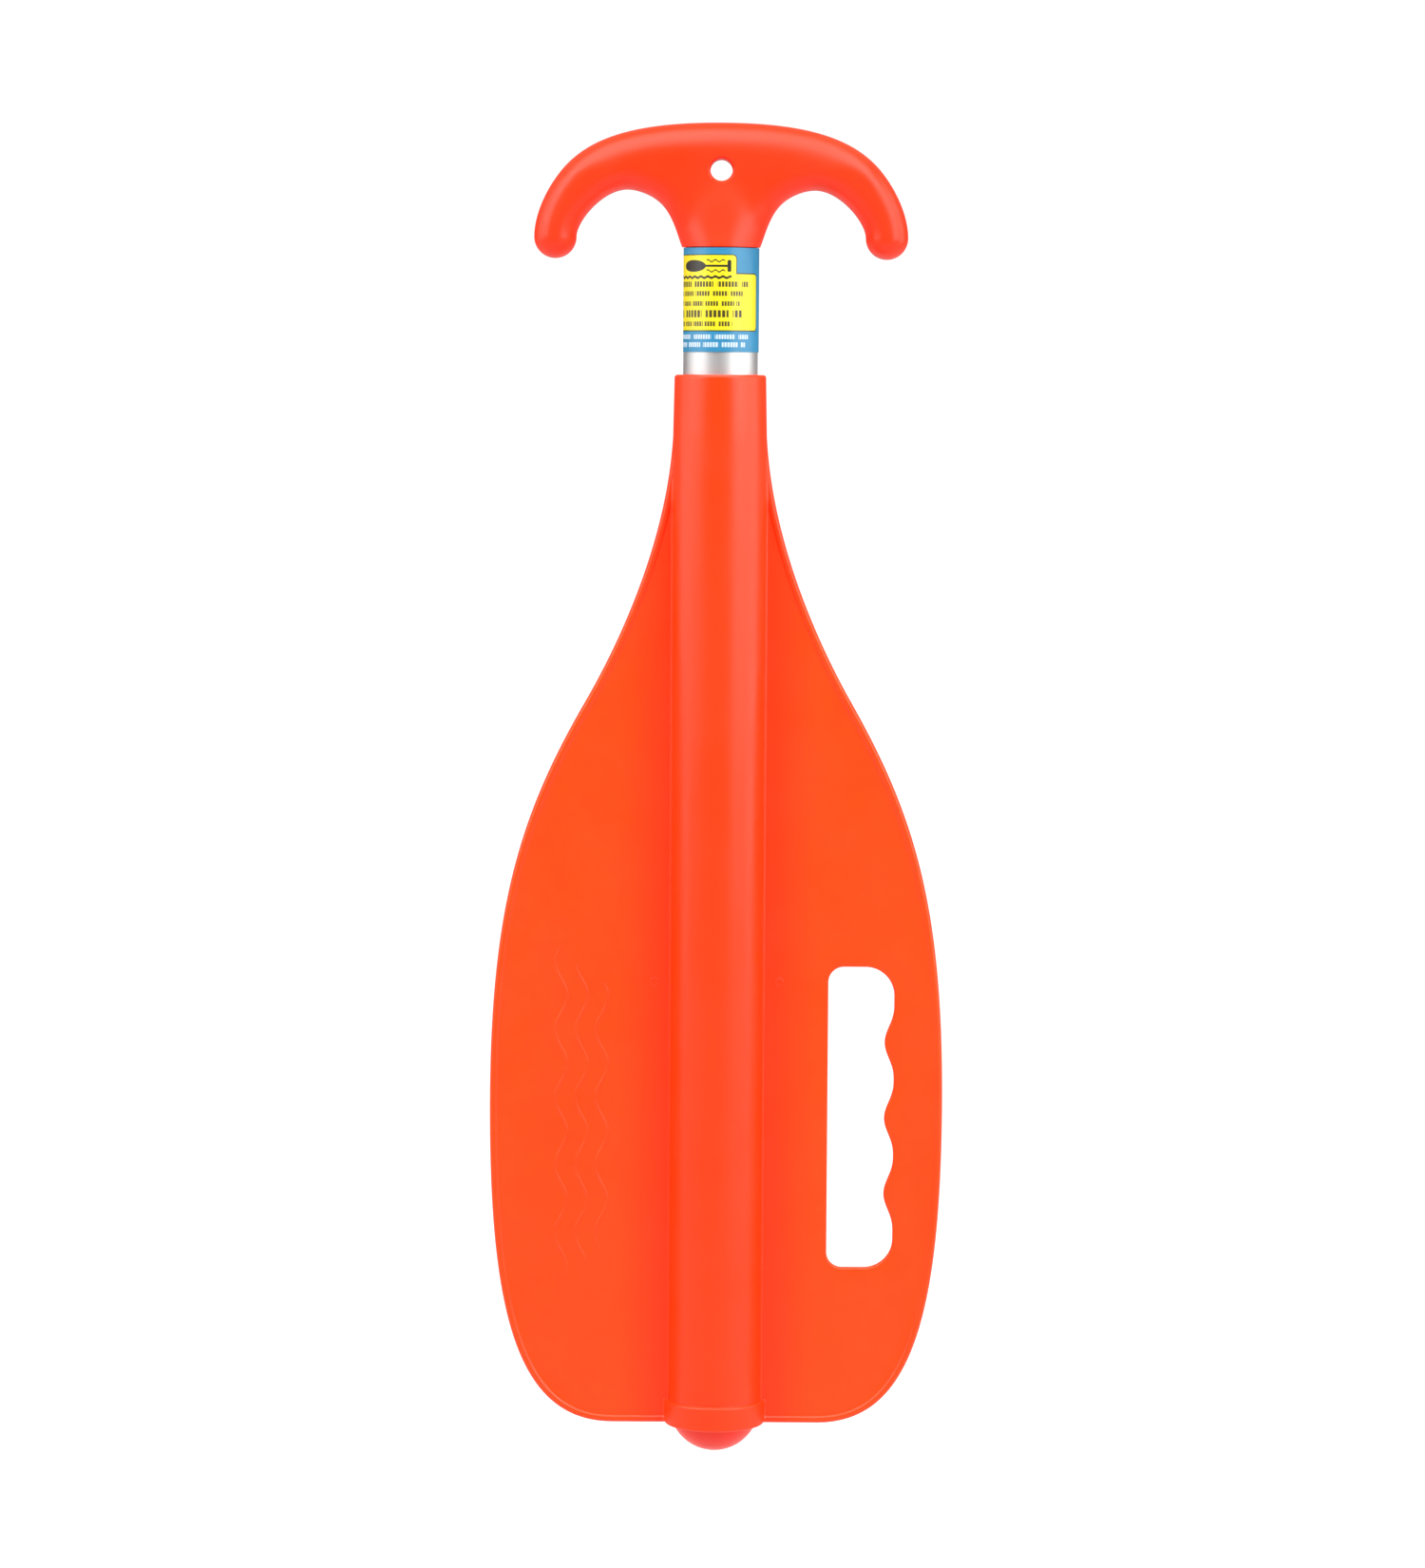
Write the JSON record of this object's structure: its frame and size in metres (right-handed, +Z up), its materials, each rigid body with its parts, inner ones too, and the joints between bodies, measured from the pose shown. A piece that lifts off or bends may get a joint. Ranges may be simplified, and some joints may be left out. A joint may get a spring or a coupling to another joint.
{
  "type": "telescoping boat paddle",
  "caption": "Compact telescoping boat paddle: flat blade with a moulded socket and a hand slot, a twist-locking tube shaft, and a T handle with boat hooks and a hang hole.",
  "frame": {"origin": "centre of the hang hole in the handle, half-way through the handle", "axes": "+Z up the shaft towards the top of the handle, -Y out of the blade's front face, +X towards the side with the hand slot"},
  "size_m": [0.1562, 0.0346, 0.4572],
  "materials": {
    "handle_plastic": "satin moulded, hi-vis orange red",
    "blade_plastic": "satin moulded, hi-vis orange",
    "plug_plastic": "semi-gloss moulded, hi-vis orange",
    "shaft_aluminium": "clear anodised, satin",
    "rivet_aluminium": "plain",
    "label_vinyl": "printed vinyl, satin",
    "nylon": "natural nylon",
    "steel": "stainless"
  },
  "bodies": {
    "shaft": {"handle": "handle_plastic", "handle_rivet": "rivet_aluminium", "rivet_mandrel": "steel", "shaft_tube": "shaft_aluminium", "shaft_label": "label_vinyl", "lock_plug": "nylon", "lock_plug_pin": "steel", "thrust_washer": "steel", "lock_screw": "steel"},
    "cam_ring": {"cam_ring": "nylon"},
    "blade": {"blade": "blade_plastic", "end_plug": "plug_plastic"}
  },
  "joints": [
    {"name": "lock_twist", "type": "hinge", "parent": "shaft", "child": "cam_ring", "pos_m": [0.0008, 0, -0.4163], "axis": [0, 0, 1], "range_deg": [-30, 30]},
    {"name": "telescope", "type": "slide", "parent": "cam_ring", "child": "blade", "axis": [0, 0, -1], "range_m": [0, 0.3302]}
  ]
}
